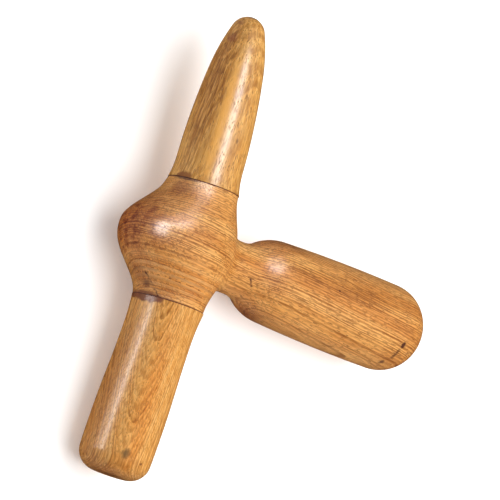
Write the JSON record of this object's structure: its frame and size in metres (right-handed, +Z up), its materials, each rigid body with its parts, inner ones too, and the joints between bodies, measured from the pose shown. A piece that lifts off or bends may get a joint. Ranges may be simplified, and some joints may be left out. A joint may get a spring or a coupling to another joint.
{
  "type": "foot massage roller",
  "caption": "Hand-held turned wooden massage tool with a thick grip, a tapered round-tipped probe and a blunt flat-ended arm, dowelled and glued to a swollen hub.",
  "frame": {"origin": "bottom centre of the bounding box, on the table the tool lies on", "axes": "+Y along the two arms towards the probe's tip, +X along the grip away from the hub's nose, +Z up from the table"},
  "size_m": [0.164, 0.1942, 0.0421],
  "materials": {
    "handle_wood": "satin",
    "probe_wood": "satin",
    "blunt_wood": "satin",
    "dowel_wood": "matte",
    "filler": "matte"
  },
  "bodies": {
    "root": {"handle": "handle_wood", "probe": "probe_wood", "blunt_arm": "blunt_wood", "probe_dowel": "dowel_wood", "blunt_dowel": "dowel_wood", "probe_glue": "filler", "blunt_glue": "filler"}
  },
  "joints": []
}
